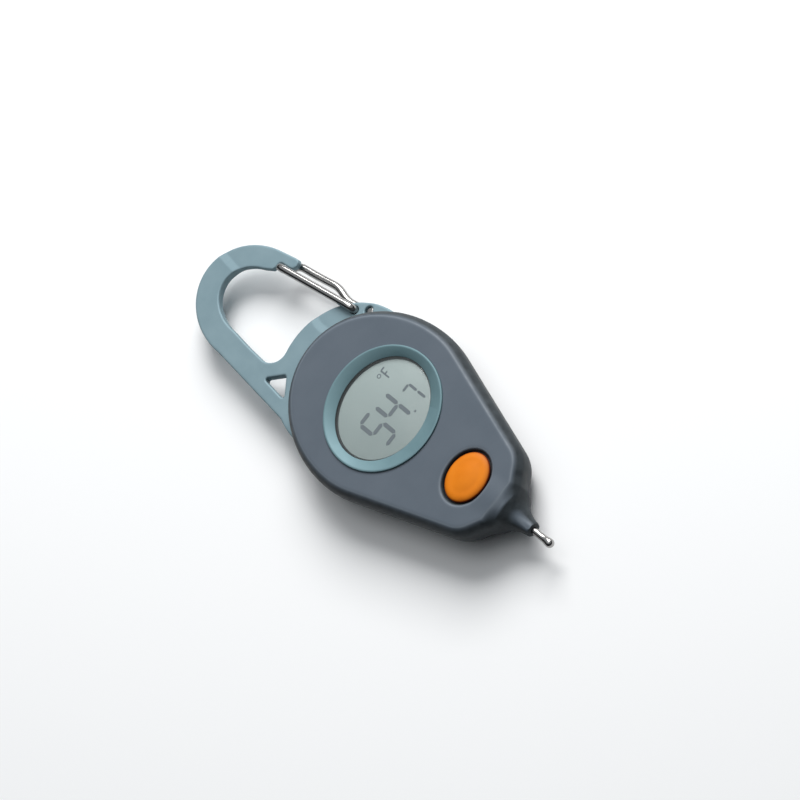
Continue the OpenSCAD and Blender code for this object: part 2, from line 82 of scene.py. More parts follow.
# Outline of the body, whose face is rounded a little more tightly than the CAD's
END_Y = -5.0
WIDEST_Z = 10.0
FACE_INSET = 2.2
EDGE_POWER = 4 / 3
BACK_INSET = 6.0
SIDE_R = 27.2
SIDE_ANGLE = math.radians(16.3)
NOSE_ANGLE = math.radians(56.8)
NOSE_REACH = 45.2
CORNER_R = 8.7
BLUNT_Y = -50.0
GRIP_T = 1.3
BUTTON_GAP = 0.4

# Nose cone, and the width over which it blends into the body
COLLAR_R = 1.85
FLARE_R = 12.4
FLARE_Y = -58.9
CONE_R = 5.2
CONE_ROOT_Y = -44.0
NOSE_BLEND = 3.2


# ---------------------------------------------------------------- outlines and distance fields
def arc(centre, rx, ry, first, last, count):
    """Points on an elliptic arc, with its angles in radians."""
    a = np.linspace(first, last, count)
    return np.stack([centre[0] + rx * np.cos(a), centre[1] + ry * np.sin(a)], 1)


def body_outline():
    """The body seen from the front, from the round end down both sides to the blunt nose end."""
    side_reach = (HALF_WIDTH - SIDE_R) * math.cos(SIDE_ANGLE) - END_Y * math.sin(SIDE_ANGLE) + SIDE_R
    a, b = side_reach - CORNER_R, NOSE_REACH - CORNER_R
    turn = math.sin(NOSE_ANGLE - SIDE_ANGLE)
    corner = ((a * math.sin(NOSE_ANGLE) - b * math.sin(SIDE_ANGLE)) / turn,
              (b * math.cos(SIDE_ANGLE) - a * math.cos(NOSE_ANGLE)) / turn)
    right = np.vstack([
        arc((0, END_Y), HALF_WIDTH, BODY_TOP_Y - END_Y, math.pi / 2, 0, 40),
        arc((HALF_WIDTH - SIDE_R, END_Y), SIDE_R, SIDE_R, 0, -SIDE_ANGLE, 12)[1:],
        arc((corner[0], -corner[1]), CORNER_R, CORNER_R, -SIDE_ANGLE, -NOSE_ANGLE, 14),
        [[(NOSE_REACH + BLUNT_Y * math.sin(NOSE_ANGLE)) / math.cos(NOSE_ANGLE), BLUNT_Y]],
    ])
    left = right[1:][::-1] * [-1, 1]
    return np.vstack([right, left])


def body_profile():
    """Section of the body's edge: how far inside the outline the skin lies at each height."""
    deep = 60.0
    back = arc((BACK_INSET, WIDEST_Z), BACK_INSET, WIDEST_Z, 1.5 * math.pi, math.pi, 24)
    turn = np.linspace(0, math.pi / 2, 12)[1:]
    face = np.stack([FACE_INSET * (1 - np.cos(turn).clip(0) ** EDGE_POWER),
                     WIDEST_Z + (FACE_Z - WIDEST_Z) * np.sin(turn) ** EDGE_POWER], 1)
    return np.vstack([[[deep, 0]], back, face, [[deep, FACE_Z]]])


def nose_profile():
    """Section of the nose cone as (radius, y) on both sides of its axis, with a soft rim at its end."""
    flare_x = COLLAR_R + FLARE_R
    first = math.acos((flare_x - CONE_R) / FLARE_R)
    rim = 0.35
    last = math.asin((NOSE_END_Y + rim - FLARE_Y) / FLARE_R)
    end_r = flare_x - FLARE_R * math.cos(last)
    side = np.vstack([
        [[CONE_R, CONE_ROOT_Y]],
        arc((flare_x, FLARE_Y), -FLARE_R, FLARE_R, first, last, 16),
        arc((end_r - rim, NOSE_END_Y + rim), rim, rim, 0, -math.pi / 2, 6)[1:],
    ])
    return np.vstack([side, side[::-1] * [-1, 1]])


def polygon_distance(u, v, corners):
    """Signed distance from the points (u, v) to a closed polygon, negative inside."""
    best = np.full(u.shape, np.inf)
    inside = np.zeros(u.shape, bool)
    for (ax, ay), (bx, by) in zip(corners, np.roll(corners, -1, axis=0)):
        ex, ey = bx - ax, by - ay
        t = np.clip(((u - ax) * ex + (v - ay) * ey) / (ex * ex + ey * ey), 0, 1)
        best = np.minimum(best, (u - ax - t * ex) ** 2 + (v - ay - t * ey) ** 2)
        if ey != 0:
            inside ^= ((ay > v) != (by > v)) & (u < ax + (v - ay) * ex / ey)
    return np.where(inside, -1.0, 1.0) * np.sqrt(best)


def oval_distance(x, y, w, h):
    """Nearly the distance to an oval about the origin, negative inside."""
    k = np.hypot(x / w, y / h)
    slope = np.hypot(x / w ** 2, y / h ** 2) / np.maximum(k, 1e-6)
    return (k - 1) / np.maximum(slope, 1e-6)


def soft_min(a, b, width):
    h = np.maximum(width - np.abs(a - b), 0)
    return np.minimum(a, b) - h * h / (4 * width)


def soft_max(a, b, width):
    return -soft_min(-a, -b, width)


def rounded_slab(flat, height, half_t, edge):
    """Distance to a plate of half thickness half_t, whose outline distance is flat, with rounded edges."""
    a, b = flat + edge, np.abs(height) - half_t + edge
    return np.minimum(np.maximum(a, b), 0) + np.hypot(np.maximum(a, 0), np.maximum(b, 0)) - edge


# ---------------------------------------------------------------- meshes
def surface_net(name, field, low, high, step, floor_z=None):
    """A smooth closed mesh where field(x, y, z) is 0, between the corners low and high, in millimetres.

    Points that end below floor_z are lifted to it.
    """
    axes = [np.arange(a, b + step, step) for a, b in zip(low, high)]
    grid = np.meshgrid(*axes, indexing="ij")
    value = field(*grid)
    inside = value < 0
    cells = tuple(n - 1 for n in value.shape)
    total = np.zeros(cells + (3,))
    hits = np.zeros(cells)

    def window(array, shift):
        return array[tuple(slice(s, s + n) for s, n in zip(shift, cells))]

    corners = [(i, j, k) for i in (0, 1) for j in (0, 1) for k in (0, 1)]
    for a in corners:
        for axis in range(3):
            if a[axis]:
                continue
            b = tuple(1 if i == axis else a[i] for i in range(3))
            va, vb = window(value, a), window(value, b)
            cross = (va < 0) != (vb < 0)
            t = np.where(cross, va / np.where(cross, va - vb, 1), 0)
            for i in range(3):
                offset = a[i] + (t if i == axis else 0)
                total[..., i] += np.where(cross, offset, 0)
            hits += cross
    active = hits > 0
    index = np.full(cells, -1)
    index[active] = np.arange(active.sum())
    cell = np.argwhere(active)
    points = np.array(low) + (cell + total[active] / hits[active][:, None]) * step

    faces = []
    for axis in range(3):
        u, v = (axis + 1) % 3, (axis + 2) % 3
        first = [slice(None)] * 3
        second = [slice(None)] * 3
        first[axis], second[axis] = slice(0, -1), slice(1, None)
        a, b = inside[tuple(first)], inside[tuple(second)]
        for starts, order in ((a & ~b, 1), (~a & b, -1)):
            at = np.argwhere(starts)
            at = at[(at[:, u] > 0) & (at[:, v] > 0) & (at[:, u] < cells[u]) & (at[:, v] < cells[v])]
            quad = []
            for du, dv in ((-1, -1), (0, -1), (0, 0), (-1, 0)):
                p = at.copy()
                p[:, u] += du
                p[:, v] += dv
                quad.append(index[p[:, 0], p[:, 1], p[:, 2]])
            faces.append(np.stack(quad, 1)[:, ::order])
    faces = np.vstack(faces)

    reach = step * 0.25
    for _ in range(3):
        x, y, z = points.T
        here = field(x, y, z)
        slope = np.stack([field(x + reach, y, z) - field(x - reach, y, z),
                          field(x, y + reach, z) - field(x, y - reach, z),
                          field(x, y, z + reach) - field(x, y, z - reach)], 1) / (2 * reach)
        size = np.maximum((slope ** 2).sum(1), 0.2)
        points -= np.clip(here / size, -step, step)[:, None] * slope
    if floor_z is not None:
        points[:, 2] = np.maximum(points[:, 2], floor_z)
    return mesh_object(name, points * MM, faces.tolist())


def mesh_object(name, points, faces, smooth=True):
    mesh = bpy.data.meshes.new(name)
    mesh.from_pydata([tuple(p) for p in points], [], faces)
    mesh.validate()
    mesh.shade_smooth() if smooth else mesh.shade_flat()
    obj = bpy.data.objects.new(name, mesh)
    bpy.context.scene.collection.objects.link(obj)
    return obj


def loft(name, rings, closed=False):
    """A mesh through rings of equal length, in millimetres. If closed, the last ring joins the first."""
    count, sides = len(rings), len(rings[0])
    points = np.vstack(rings) * MM
    faces = []
    for i in range(count if closed else count - 1):
        a, b = i * sides, (i + 1) % count * sides
        for j in range(sides):
            k = (j + 1) % sides
            faces.append((a + j, a + k, b + k, b + j))
    if not closed:
        faces.append(tuple(range(sides - 1, -1, -1)))
        faces.append(tuple(range((count - 1) * sides, count * sides)))
    obj = mesh_object(name, points, faces)
    tidy_normals(obj)
    return obj


def tidy_normals(obj):
    bm = bmesh.new()
    bm.from_mesh(obj.data)
    bmesh.ops.recalc_face_normals(bm, faces=bm.faces)
    bm.to_mesh(obj.data)
    bm.free()


def oval_ring(w, h, y, z, count=160):
    a = np.linspace(0, 2 * math.pi, count, endpoint=False)
    return np.stack([w * np.cos(a), y + h * np.sin(a), np.full(count, z)], 1)


def lathe(name, profile, start):
    """A turned part about a line along +Y through (x, z) = start: profile holds (radius, y)."""
    count = 64
    a = np.linspace(0, 2 * math.pi, count, endpoint=False)
    rings = [np.stack([start[0] + r * np.cos(a), np.full(count, y), start[1] + r * np.sin(a)], 1)
             for r, y in profile]
    return loft(name, rings)


def sweep(name, path, radius):
    """A round wire along a path, with hemispherical ends."""
    sides = 24
    path = np.array(path, float)
    along = np.gradient(path, axis=0)
    along /= np.linalg.norm(along, axis=1)[:, None]
    side = np.cross(along[0], [1.0, 0.0, 0.0])
    rings = []
    a = np.linspace(0, 2 * math.pi, sides, endpoint=False)
    for p, t in zip(path, along):
        side = side - t * side.dot(t)
        side /= np.linalg.norm(side)
        other = np.cross(t, side)
        rings.append(p + radius * (np.cos(a)[:, None] * side + np.sin(a)[:, None] * other))
    for end, t, sign in ((0, along[0], -1), (-1, along[-1], 1)):
        centre, ring = path[end], rings[end]
        dome = [centre + (ring - centre) * math.cos(b) + sign * t * radius * math.sin(b)
                for b in np.linspace(0, math.pi / 2 * 0.97, 6)[1:]]
        rings = dome[::-1] + rings if sign < 0 else rings + dome
    return loft(name, rings)


def rounded_path(corners, bend):
    """A path through corners, each rounded by a quadratic curve that starts bend before it."""
    pieces = 8
    corners = [np.array(c, float) for c in corners]
    path = [corners[0]]
    for before, here, after in zip(corners, corners[1:], corners[2:]):
        a = here + bend * (before - here) / np.linalg.norm(before - here)
        b = here + bend * (after - here) / np.linalg.norm(after - here)
        straight = int(np.linalg.norm(a - path[-1]) // 1.0)
        path += [path[-1] + (a - path[-1]) * i / (straight + 1) for i in range(1, straight + 1)]
        for u in np.linspace(0, 1, pieces):
            path.append((1 - u) ** 2 * a + 2 * u * (1 - u) * here + u * u * b)
    path.append(corners[-1])
    return path


def carve(obj, cutter, operation="DIFFERENCE"):
    """Applies an exact boolean and removes the cutter."""
    modifier = obj.modifiers.new("carve", "BOOLEAN")
    modifier.operation = operation
    modifier.solver = "EXACT"
    modifier.object = cutter
    apply_modifiers(obj)
    bpy.data.objects.remove(cutter)


def apply_modifiers(obj):
    depsgraph = bpy.context.evaluated_depsgraph_get()
    mesh = bpy.data.meshes.new_from_object(obj.evaluated_get(depsgraph))
    obj.modifiers.clear()
    old = obj.data
    obj.data = mesh
    bpy.data.meshes.remove(old)


def sharp_edges(obj, degrees):
    obj.data.set_sharp_from_angle(angle=math.radians(degrees))


def block(name, low, high):
    x0, y0, z0 = low
    x1, y1, z1 = high
    ring = [[x0, y0], [x1, y0], [x1, y1], [x0, y1]]
    rings = [np.array([[*p, z] for p in ring], float) for z in (z0, z1)]
    obj = loft(name, rings)
    obj.data.shade_flat()
    return obj


def prism(name, outline, z0, z1):
    rings = [np.column_stack([outline, np.full(len(outline), z)]) for z in (z0, z1)]
    return loft(name, rings)


# ---------------------------------------------------------------- materials
def new_material(name):
    material = bpy.data.materials.new(name)
    material.use_nodes = True
    tree = material.node_tree
    shader = tree.nodes["Principled BSDF"]
    return material, tree, shader


def texture(tree, kind, **settings):
    """A texture node in object coordinates, whose sockets are set by name."""
    node = tree.nodes.new(kind)
    coordinates = tree.nodes.new("ShaderNodeTexCoord")
    tree.links.new(coordinates.outputs["Object"], node.inputs["Vector"])
    for key, value in settings.items():
        node.inputs[key].default_value = value
    return node


def ramp(tree, source, stops):
    """A colour ramp: stops holds (position, colour)."""
    node = tree.nodes.new("ShaderNodeValToRGB")
    tree.links.new(source, node.inputs["Fac"])
    while len(node.color_ramp.elements) < len(stops):
        node.color_ramp.elements.new(0.5)
    for element, (position, colour) in zip(node.color_ramp.elements, stops):
        element.position = position
        element.color = (*colour, 1)
    return node.outputs["Color"]


def mix_colours(tree, factor, a, b):
    node = tree.nodes.new("ShaderNodeMix")
    node.data_type = "RGBA"
    for value, socket in ((factor, node.inputs[0]), (a, node.inputs[6]), (b, node.inputs[7])):
        if hasattr(value, "is_output"):
            tree.links.new(value, socket)
        else:
            socket.default_value = value if isinstance(value, float) else (*value, 1)
    return node.outputs[2]


def to_range(tree, source, low, high, from_low=0.0, from_high=1.0):
    node = tree.nodes.new("ShaderNodeMapRange")
    tree.links.new(source, node.inputs["Value"])
    node.inputs["From Min"].default_value = from_low
    node.inputs["From Max"].default_value = from_high
    node.inputs["To Min"].default_value = low
    node.inputs["To Max"].default_value = high
    return node.outputs["Result"]


def add_bump(tree, shader, layers):
    """Bumps one over another: layers holds (height output, distance in metres, strength)."""
    normal = None
    for height, distance, strength in layers:
        bump = tree.nodes.new("ShaderNodeBump")
        bump.inputs["Distance"].default_value = distance
        bump.inputs["Strength"].default_value = strength
        tree.links.new(height, bump.inputs["Height"])
        if normal:
            tree.links.new(normal, bump.inputs["Normal"])
        normal = bump.outputs["Normal"]
    tree.links.new(normal, shader.inputs["Normal"])


def levelness(tree):
    """1 on a face or back that lies level, 0 on an upright side."""
    coordinates = tree.nodes.new("ShaderNodeTexCoord")
    parts = tree.nodes.new("ShaderNodeSeparateXYZ")
    tree.links.new(coordinates.outputs["Normal"], parts.inputs["Vector"])
    size = tree.nodes.new("ShaderNodeMath")
    size.operation = "ABSOLUTE"
    tree.links.new(parts.outputs["Z"], size.inputs[0])
    return size.outputs["Value"]


def rubber_material():
    """Soft moulded grip: a matt slate face, a painted highlight line round its edge, flanks darkened with
    painted shade, and a fine grain.
    """
    material, tree, shader = new_material("soft_grip")
    cloud = texture(tree, "ShaderNodeTexNoise", Scale=90.0, Detail=4.0, Roughness=0.55)
    grain = texture(tree, "ShaderNodeTexNoise", Scale=5200.0, Detail=2.0, Roughness=0.6)
    waves = texture(tree, "ShaderNodeTexNoise", Scale=420.0, Detail=3.0, Roughness=0.5)
    face = ramp(tree, cloud.outputs["Fac"], [(0.3, (0.084, 0.105, 0.130)), (0.7, (0.096, 0.118, 0.144))])
    # Painted shade: the steep flanks take a darker colour than the level face and back, chosen by the
    # surface's tilt.
    shaded_flank_colour = ramp(tree, waves.outputs["Fac"], [(0.36, (0.021, 0.027, 0.031)), (0.68, (0.038, 0.047, 0.053))])
    level = levelness(tree)
    colour = mix_colours(tree, to_range(tree, level, 0.0, 1.0, 0.70, 0.93), shaded_flank_colour, face)
    # Painted highlight: a lighter line where the face rolls over into the flanks, placed by the surface's
    # tilt.
    edge = ramp(tree, level, [(0.88, (0, 0, 0)), (0.955, (1, 1, 1)), (0.998, (0, 0, 0))])
    tree.links.new(mix_colours(tree, edge, colour, (0.130, 0.155, 0.182)), shader.inputs["Base Color"])
    tree.links.new(to_range(tree, waves.outputs["Fac"], 0.42, 0.62, 0.3, 0.7), shader.inputs["Roughness"])
    shader.inputs["Specular IOR Level"].default_value = 0.26
    add_bump(tree, shader, [(grain.outputs["Fac"], 0.00003, 0.35), (waves.outputs["Fac"], 0.0001, 0.12)])
    return material


def anodised_material(name, dark, light):
    """Satin anodised metal in one tint, with a fine grain and short hairline scratches."""
    material, tree, shader = new_material(name)
    cloud = texture(tree, "ShaderNodeTexNoise", Scale=130.0, Detail=5.0, Roughness=0.6)
    fine = texture(tree, "ShaderNodeTexNoise", Scale=4200.0, Detail=2.0, Roughness=0.5)
    scratch = texture(tree, "ShaderNodeTexVoronoi", Scale=380.0)
    scratch.feature = "DISTANCE_TO_EDGE"
    base = ramp(tree, cloud.outputs["Fac"], [(0.3, dark), (0.7, light)])
    tree.links.new(base, shader.inputs["Base Color"])
    tree.links.new(to_range(tree, cloud.outputs["Fac"], 0.46, 0.60, 0.3, 0.7), shader.inputs["Roughness"])
    shader.inputs["Metallic"].default_value = 0.2
    shader.inputs["Specular IOR Level"].default_value = 0.3
    lines = to_range(tree, scratch.outputs["Distance"], 0.0, 1.0, 0.0, 0.02)
    add_bump(tree, shader, [(fine.outputs["Fac"], 0.00002, 0.3), (lines, 0.000008, 0.25)])
    return material


def steel_material(name, colour, roughness, lines):
    """Polished or plated steel with faint drawing lines and a few dull stains."""
    material, tree, shader = new_material(name)
    stain = texture(tree, "ShaderNodeTexNoise", Scale=260.0, Detail=4.0, Roughness=0.55)
    fine = texture(tree, "ShaderNodeTexNoise", Scale=6000.0, Detail=2.0, Roughness=0.5)
    dull = tuple(c * 0.86 for c in colour)
    base = ramp(tree, stain.outputs["Fac"], [(0.3, dull), (0.5, colour)])
    tree.links.new(base, shader.inputs["Base Color"])
    tree.links.new(to_range(tree, stain.outputs["Fac"], roughness * 1.5, roughness, 0.3, 0.6),
                   shader.inputs["Roughness"])
    shader.inputs["Metallic"].default_value = 1.0
    add_bump(tree, shader, [(fine.outputs["Fac"], 0.000004, lines)])
    return material


def plastic_material(name, dark, light, roughness):
    """Moulded plastic, rubber seal or resin: two close shades and a fine moulded grain."""
    material, tree, shader = new_material(name)
    cloud = texture(tree, "ShaderNodeTexNoise", Scale=160.0, Detail=4.0, Roughness=0.55)
    fine = texture(tree, "ShaderNodeTexNoise", Scale=3500.0, Detail=2.0, Roughness=0.55)
    base = ramp(tree, cloud.outputs["Fac"], [(0.3, dark), (0.7, light)])
    tree.links.new(base, shader.inputs["Base Color"])
    tree.links.new(to_range(tree, cloud.outputs["Fac"], roughness * 0.9, roughness * 1.12, 0.3, 0.7),
                   shader.inputs["Roughness"])
    shader.inputs["Specular IOR Level"].default_value = 0.5
    add_bump(tree, shader, [(fine.outputs["Fac"], 0.00002, 0.25)])
    return material


def button_material():
    """Orange rubber: a fine grain, and painted shade in a deeper red-brown where the dome turns down into
    its gap.
    """
    material, tree, shader = new_material("orange_button")
    cloud = texture(tree, "ShaderNodeTexNoise", Scale=240.0, Detail=4.0, Roughness=0.55)
    fine = texture(tree, "ShaderNodeTexNoise", Scale=2600.0, Detail=2.0, Roughness=0.55)
    top = ramp(tree, cloud.outputs["Fac"], [(0.3, (0.66, 0.180, 0.006)), (0.7, (0.72, 0.205, 0.008))])
    # Painted shade: the dome's steep edge is darkened to red-brown according to the surface's tilt.
    unshaded_top = to_range(tree, levelness(tree), 0.0, 1.0, 0.66, 0.99)
    colour = mix_colours(tree, unshaded_top, (0.14, 0.018, 0.003), top)
    tree.links.new(colour, shader.inputs["Base Color"])
    tree.links.new(to_range(tree, cloud.outputs["Fac"], 0.45, 0.58, 0.3, 0.7), shader.inputs["Roughness"])
    shader.inputs["Specular IOR Level"].default_value = 0.14
    add_bump(tree, shader, [(fine.outputs["Fac"], 0.00002, 0.25)])
    return material


def lens_material():
    """Clear moulded window: nearly all see-through, with a gloss that varies faintly."""
    material, tree, shader = new_material("clear_lens")
    haze = texture(tree, "ShaderNodeTexNoise", Scale=600.0, Detail=5.0, Roughness=0.6)
    shader.inputs["Base Color"].default_value = (0.30, 0.34, 0.34, 1)
    tree.links.new(to_range(tree, haze.outputs["Fac"], 0.03, 0.12, 0.35, 0.7), shader.inputs["Roughness"])
    shader.inputs["Alpha"].default_value = 0.10
    shader.inputs["Specular IOR Level"].default_value = 0.9
    return material


def display_material():
    """Reflective liquid crystal panel: pale grey-green, faintly clouded, with a pearly grain."""
    material, tree, shader = new_material("display_panel")
    cloud = texture(tree, "ShaderNodeTexNoise", Scale=70.0, Detail=3.0, Roughness=0.5)
    grain = texture(tree, "ShaderNodeTexNoise", Scale=7000.0, Detail=2.0, Roughness=0.6)
    base = ramp(tree, cloud.outputs["Fac"], [(0.3, (0.315, 0.380, 0.368)), (0.7, (0.350, 0.415, 0.402))])
    tree.links.new(base, shader.inputs["Base Color"])
    tree.links.new(to_range(tree, grain.outputs["Fac"], 0.42, 0.6, 0.3, 0.7), shader.inputs["Roughness"])
    add_bump(tree, shader, [(grain.outputs["Fac"], 0.00001, 0.15)])
    return material


def floor_material():
    material, tree, shader = new_material("floor")
    shader.inputs["Base Color"].default_value = (0.86, 0.86, 0.86, 1)
    shader.inputs["Roughness"].default_value = 0.8
    shader.inputs["Specular IOR Level"].default_value = 0.1
    return material


MATERIALS = {
    "soft_grip": rubber_material(),
    "anodised_aluminium": anodised_material("anodised_aluminium", (0.175, 0.258, 0.292),
                                            (0.205, 0.292, 0.326)),
    "polished_wire": steel_material("polished_wire", (0.38, 0.37, 0.36), 0.13, 0.2),
    "polished_steel": steel_material("polished_steel", (0.40, 0.39, 0.38), 0.15, 0.2),
    "plated_metal": steel_material("plated_metal", (0.62, 0.61, 0.58), 0.3, 0.4),
    "screw_steel": steel_material("screw_steel", (0.42, 0.42, 0.43), 0.32, 0.4),
    "contact_brass": steel_material("contact_brass", (0.75, 0.58, 0.28), 0.3, 0.4),
    "hard_plastic": plastic_material("hard_plastic", (0.040, 0.046, 0.054), (0.055, 0.062, 0.071), 0.5),
    "seal_rubber": plastic_material("seal_rubber", (0.010, 0.010, 0.011), (0.018, 0.018, 0.019), 0.6),
    "white_plastic": plastic_material("white_plastic", (0.68, 0.68, 0.65), (0.76, 0.76, 0.73), 0.45),
    "board_laminate": plastic_material("board_laminate", (0.015, 0.13, 0.06), (0.02, 0.17, 0.08), 0.35),
    "black_resin": plastic_material("black_resin", (0.012, 0.012, 0.013), (0.02, 0.02, 0.021), 0.4),
    "lead_insulation": plastic_material("lead_insulation", (0.42, 0.04, 0.03), (0.52, 0.06, 0.04), 0.4),
    "orange_button": button_material(),
    "clear_lens": lens_material(),
    "display_panel": display_material(),
}
BEZEL_MATERIAL = anodised_material("anodised_bezel", (0.122, 0.209, 0.234), (0.144, 0.237, 0.261))
DIGIT_MATERIAL = plastic_material("display_segments", (0.098, 0.122, 0.142), (0.112, 0.137, 0.157), 0.5)


def finish_piece(obj, body, slot, *replaced):
    """Gives a piece its slot's material and its body, and hides the CAD nodes that it stands for."""
    obj.data.materials.clear()
    obj.data.materials.append(MATERIALS[slot])
    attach(obj, body)
    if replaced:
        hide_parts(*replaced)
    return obj


def dress_cad_nodes():
    """Gives each CAD node that stays the material of its slot."""
    for part in frame["record"]["subparts"]:
        obj = frame["nodes"][part["node"]]
        for material_slot in obj.material_slots:
            material_slot.material = MATERIALS[part["material_slot"]]


# ---------------------------------------------------------------- grips
OUTLINE = body_outline()
PROFILE = body_profile()
NOSE = nose_profile()
SCREWS = [(s * x, y) for x, y in ((11.0, 13.0), (10.5, -30.0)) for s in (-1, 1)]


def body_field(x, y, z):
    """Distance to the body's skin: the pebble and the nose cone, blended."""
    inset = -polygon_distance(x, y, OUTLINE)
    pebble = polygon_distance(inset, z, PROFILE)
    cone = polygon_distance(np.hypot(x, z - MID_Z), y, NOSE)
    return soft_min(pebble, cone, NOSE_BLEND)


def button_field(x, y):
    return oval_distance(x, y - BUTTON_Y, BUTTON_W + BUTTON_GAP, BUTTON_H + BUTTON_GAP)


def grip_field(x, y, z):
    """The skin with the soft rim of the button's opening."""
    rim = 1.1
    hole = np.maximum(button_field(x, y), FACE_Z - GRIP_T - 1 - z)
    return soft_max(body_field(x, y, z), -hole, rim)


def build_grips():
    low = np.array([-HALF_WIDTH - 1, NOSE_END_Y - 1, -0.9])
    high = np.array([HALF_WIDTH + 1, BODY_TOP_Y + 1, FACE_Z + 1.1])
    step = 0.42
    skin = surface_net("skin", grip_field, low, high, step, floor_z=0.0)
    core = surface_net("core", lambda x, y, z: body_field(x, y, z) + GRIP_T, low, high, 0.8)
    carve(skin, core)
    rear = skin.copy()
    rear.data = skin.data.copy()
    bpy.context.scene.collection.objects.link(rear)
    skin.name, rear.name = "front_grip_skin", "rear_grip_skin"
    seam = 0.03
    carve(skin, block("cut", (-40, -80, -20), (40, 60, MID_Z + seam)))
    carve(rear, block("cut", (-40, -80, MID_Z - seam), (40, 60, 30)))
    hole_r = BEZEL_R + 0.05
    carve(skin, prism("cut", oval_ring(hole_r, hole_r, WINDOW_Y, 0, 256)[:, :2], MID_Z + 1, FACE_Z + 3))
    cell_y = -8.0
    cover_hole_r = 12.0
    screw_hole_r = 2.1
    carve(rear, prism("cut", oval_ring(cover_hole_r, cover_hole_r, cell_y, 0, 192)[:, :2], -3, MID_Z - 1))
    for x, y in SCREWS:
        ring = oval_ring(screw_hole_r, screw_hole_r, 0, 0, 48)[:, :2] + [x, y]
        carve(rear, prism("cut", ring, -3, MID_Z - 1))
    for obj, node in ((skin, "front_grip"), (rear, "rear_grip")):
        sharp_edges(obj, 40)
        finish_piece(obj, "case", "soft_grip", node)


# ---------------------------------------------------------------- carabiner plate
ARCH = np.array([-0.4, 47.1])
ARCH_W = 14.6
INNER_W = 8.5
INNER_H = 11.4
SHOULDER_Y = 11.8
SHOULDER_R = 19.6
FILLET_R = 4.2
INNER_LEFT = -9.6
TANG_Y = 9.4
FOOT_X = -18.95
THIN_T = 1.8
WIRE_R = 1.0
PIVOT_A = np.array([14.0, 22.6])
PIVOT_B = np.array([16.0, 19.0])
CATCH = np.array([10.6, 47.9])
LANYARD = [(-12.45, 30.1), (-9.5, 26.7), (-13.15, 23.8)]
RELIEF_CENTRE = (14.0, 27.0)
RELIEF_FRONT_R = 7.5
RELIEF_REAR_R = 9.0
RELIEF_HOOK = np.array([[5, 40], [4.1, 56], [5.6, 67], [22, 67], [22, 40]])


def plate_polygon():
    """The plate's hooked arm: from the tang round the arch to the hook, and back down the inner edge."""
    fillet_x = INNER_LEFT + FILLET_R
    fillet_y = SHOULDER_Y + math.sqrt((SHOULDER_R + FILLET_R) ** 2 - fillet_x ** 2)
    fillet_end = math.atan2(SHOULDER_Y - fillet_y, -fillet_x) + 2 * math.pi
    catch_r = WIRE_R + 0.2
    hook_tip = [[14.75, 46.2], [14.85, 45.0], [14.3, 44.4], [13.2, 44.2], [12.3, 44.7], [11.95, 45.6],
                [11.82, 47.2]]
    return np.vstack([
        [[FOOT_X, TANG_Y]],
        arc(ARCH, ARCH_W, PLATE_TOP_Y - ARCH[1], math.pi, math.radians(14), 56),
        hook_tip,
        arc(CATCH, catch_r, catch_r, 0, math.radians(112.5), 8),
        [[9.0, 49.4]],
        arc((0, ARCH[1]), INNER_W, INNER_H, math.radians(24), math.pi, 44),
        [[-9.2, 41.1]],
        arc((fillet_x, fillet_y), FILLET_R, FILLET_R, math.pi, fillet_end, 16),
        [[-2, 25], [-2, TANG_Y]],
    ])


def lanyard_distance(x, y):
    corner_r = 0.55
    return polygon_distance(x, y, np.array(LANYARD)) - corner_r


PLATE = plate_polygon()
HOLES = [(*PIVOT_A, WIRE_R + 0.08), (*PIVOT_B, WIRE_R + 0.2)]


def plate_flat(x, y):
    """Distance to the plate's outline, with its holes."""
    shoulder = np.maximum(np.hypot(x, y - SHOULDER_Y) - SHOULDER_R, TANG_Y - y)
    flat = np.minimum(polygon_distance(x, y, PLATE), shoulder)
    flat = np.maximum(flat, -lanyard_distance(x, y))
    for hx, hy, r in HOLES:
        flat = np.maximum(flat, r - np.hypot(x - hx, y - hy))
    return flat


def relief_distance(x, y, z):
    """Distance to the milled areas beside the gate, negative inside. They are wider on the rear face."""
    radius = np.where(z > MID_Z, RELIEF_FRONT_R, RELIEF_REAR_R)
    pivot = np.hypot(x - RELIEF_CENTRE[0], y - RELIEF_CENTRE[1]) - radius
    hook = polygon_distance(x, y, RELIEF_HOOK)
    return np.minimum(pivot, hook)


def plate_field(x, y, z):
    """Distance to the plate, which slopes down to its thin thickness beside the milled areas."""
    slope_w = 2.0
    edge = 0.38
    milled = np.clip(1 - relief_distance(x, y, z) / slope_w, 0, 1)
    half_t = PLATE_T / 2 - (PLATE_T - THIN_T) / 2 * milled
    return rounded_slab(plate_flat(x, y), z - MID_Z, half_t, edge)


def build_plate():
    low = low_mm("carabiner_frame") - 0.6
    high = high_mm("carabiner_frame") + 0.6
    step = 0.24
    plate = surface_net("carabiner_plate", plate_field, low, high, step)
    finish_piece(plate, "case", "anodised_aluminium", "carabiner_frame")


# ---------------------------------------------------------------- wire gate
def build_gate():
    """One bent wire: a front leg, a turn round the hook's notch, and a kinked rear leg."""
    clear = 0.1
    bend = 1.6
    front_z = MID_Z + THIN_T / 2 + clear + WIRE_R
    rear_z = MID_Z - THIN_T / 2 - clear - WIRE_R
    front = [(*PIVOT_A, MID_Z - 0.4), (*PIVOT_A, front_z), (*CATCH, front_z)]
    rear_leg = [(CATCH[0] + 0.1, CATCH[1]), (13.8, 45.5), (14.6, 39.2), (15.7, 32.4), (14.5, 27.6), PIVOT_B]
    corners = front + [(x, y, rear_z) for x, y in rear_leg]
    gate = sweep("gate_wire", rounded_path(corners, bend), WIRE_R - 0.01)
    finish_piece(gate, "gate", "polished_wire", "wire_gate")


